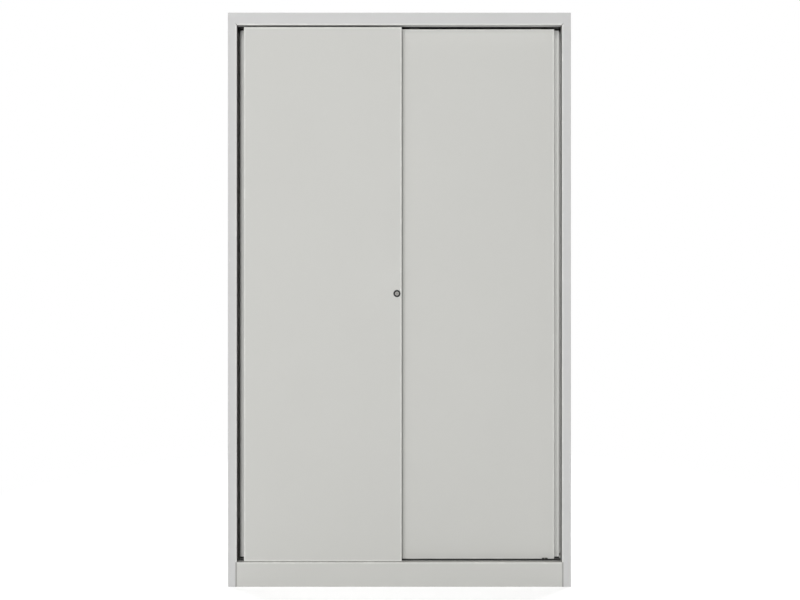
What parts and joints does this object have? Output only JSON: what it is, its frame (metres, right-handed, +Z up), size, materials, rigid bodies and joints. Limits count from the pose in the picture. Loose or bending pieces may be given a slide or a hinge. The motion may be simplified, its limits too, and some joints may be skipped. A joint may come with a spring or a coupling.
{
  "type": "sliding door cabinet",
  "caption": "Tall free-standing steel office cupboard with two overlapping sliding doors, adjustable shelves inside and a small cam lock.",
  "frame": {"origin": "on the floor, under the middle of the cupboard's width and depth", "axes": "+Z up, +X to the right, +Y to the back, so the doors face -Y"},
  "size_m": [1.195, 0.43, 2],
  "materials": {
    "door_powder_coat": "fine-textured satin powder coat",
    "carcass_powder_coat": "fine-textured satin powder coat",
    "inner_powder_coat": "fine-textured satin powder coat",
    "black_plastic": "matt moulded plastic",
    "black_rubber": "matt rubber",
    "white_nylon": "turned nylon",
    "black_lock_bezel": "smooth black",
    "nickel_plug": "satin nickel",
    "zinc_plated_steel": "bright zinc plating"
  },
  "bodies": {
    "cabinet": {"back_joint_strip": "inner_powder_coat", "back_panel_left": "inner_powder_coat", "back_panel_right": "inner_powder_coat", "bottom_panel": "inner_powder_coat", "bottom_stiffener": "inner_powder_coat", "bottom_track": "black_plastic", "foot_brackets": "zinc_plated_steel", "foot_hole_caps": "black_plastic", "foot_nuts": "zinc_plated_steel", "plinth_front": "carcass_powder_coat", "plinth_rear": "inner_powder_coat", "shelf_1": "inner_powder_coat", "shelf_2": "inner_powder_coat", "shelf_3": "inner_powder_coat", "shelf_4": "inner_powder_coat", "shelf_clips": "zinc_plated_steel", "side_panel_left": "carcass_powder_coat", "side_panel_right": "carcass_powder_coat", "top_panel": "carcass_powder_coat", "top_stiffener": "inner_powder_coat", "top_track": "black_plastic", "track_stops": "black_rubber", "upright_front_left": "inner_powder_coat", "upright_front_right": "inner_powder_coat", "upright_rear_left": "inner_powder_coat", "upright_rear_right": "inner_powder_coat"},
    "front_door": {"front_door_panel": "door_powder_coat", "front_door_stiffener": "inner_powder_coat", "front_door_roller_brackets": "zinc_plated_steel", "front_door_axles": "zinc_plated_steel", "front_door_top_guides": "white_nylon", "front_door_screws": "zinc_plated_steel", "lock_housing": "black_lock_bezel", "lock_nut": "zinc_plated_steel"},
    "rear_door": {"rear_door_panel": "door_powder_coat", "rear_door_stiffener": "inner_powder_coat", "rear_door_roller_brackets": "zinc_plated_steel", "rear_door_axles": "zinc_plated_steel", "rear_door_top_guides": "white_nylon", "rear_door_screws": "zinc_plated_steel", "lock_striker": "zinc_plated_steel", "striker_rivets": "zinc_plated_steel"},
    "lock": {"lock_plug": "nickel_plug", "lock_cam": "zinc_plated_steel", "cam_screw": "zinc_plated_steel"},
    "roller_front_left": {"roller_front_left": "white_nylon"},
    "roller_front_right": {"roller_front_right": "white_nylon"},
    "roller_rear_left": {"roller_rear_left": "white_nylon"},
    "roller_rear_right": {"roller_rear_right": "white_nylon"},
    "foot_front_left": {"foot_screw_front_left": "zinc_plated_steel", "foot_pad_front_left": "black_plastic"},
    "foot_front_right": {"foot_screw_front_right": "zinc_plated_steel", "foot_pad_front_right": "black_plastic"},
    "foot_rear_right": {"foot_screw_rear_right": "zinc_plated_steel", "foot_pad_rear_right": "black_plastic"},
    "foot_rear_left": {"foot_screw_rear_left": "zinc_plated_steel", "foot_pad_rear_left": "black_plastic"}
  },
  "joints": [
    {"name": "front_door_slide", "type": "slide", "parent": "cabinet", "child": "front_door", "axis": [1, 0, 0], "range_m": [0, 0.53675]},
    {"name": "rear_door_slide", "type": "slide", "parent": "cabinet", "child": "rear_door", "axis": [1, 0, 0], "range_m": [-0.53675, 0]},
    {"name": "lock_turn", "type": "hinge", "parent": "front_door", "child": "lock", "pos_m": [-0.00855, -0.2125, 1.0215], "axis": [0, -1, 0], "range_deg": [0, 90]},
    {"name": "roller_front_left_spin", "type": "hinge", "parent": "front_door", "child": "roller_front_left", "pos_m": [-0.4825, -0.1895, 0.0933], "axis": [0, 1, 0], "continuous": true},
    {"name": "roller_front_right_spin", "type": "hinge", "parent": "front_door", "child": "roller_front_right", "pos_m": [-0.05175, -0.1895, 0.0933], "axis": [0, 1, 0], "continuous": true},
    {"name": "roller_rear_left_spin", "type": "hinge", "parent": "rear_door", "child": "roller_rear_left", "pos_m": [0.05425, -0.1615, 0.0933], "axis": [0, 1, 0], "continuous": true},
    {"name": "roller_rear_right_spin", "type": "hinge", "parent": "rear_door", "child": "roller_rear_right", "pos_m": [0.485, -0.1615, 0.0933], "axis": [0, 1, 0], "continuous": true},
    {"name": "foot_front_left_screw", "type": "slide", "parent": "cabinet", "child": "foot_front_left", "axis": [0, 0, -1], "range_m": [0, 0.012]},
    {"name": "foot_front_right_screw", "type": "slide", "parent": "cabinet", "child": "foot_front_right", "axis": [0, 0, -1], "range_m": [0, 0.012]},
    {"name": "foot_rear_right_screw", "type": "slide", "parent": "cabinet", "child": "foot_rear_right", "axis": [0, 0, -1], "range_m": [0, 0.012]},
    {"name": "foot_rear_left_screw", "type": "slide", "parent": "cabinet", "child": "foot_rear_left", "axis": [0, 0, -1], "range_m": [0, 0.012]}
  ],
  "couplings": [
    {"joint": "roller_front_left_spin", "follows": "front_door_slide", "rad_per_m": 66.667},
    {"joint": "roller_front_right_spin", "follows": "front_door_slide", "rad_per_m": 66.667},
    {"joint": "roller_rear_left_spin", "follows": "rear_door_slide", "rad_per_m": 66.667},
    {"joint": "roller_rear_right_spin", "follows": "rear_door_slide", "rad_per_m": 66.667}
  ]
}
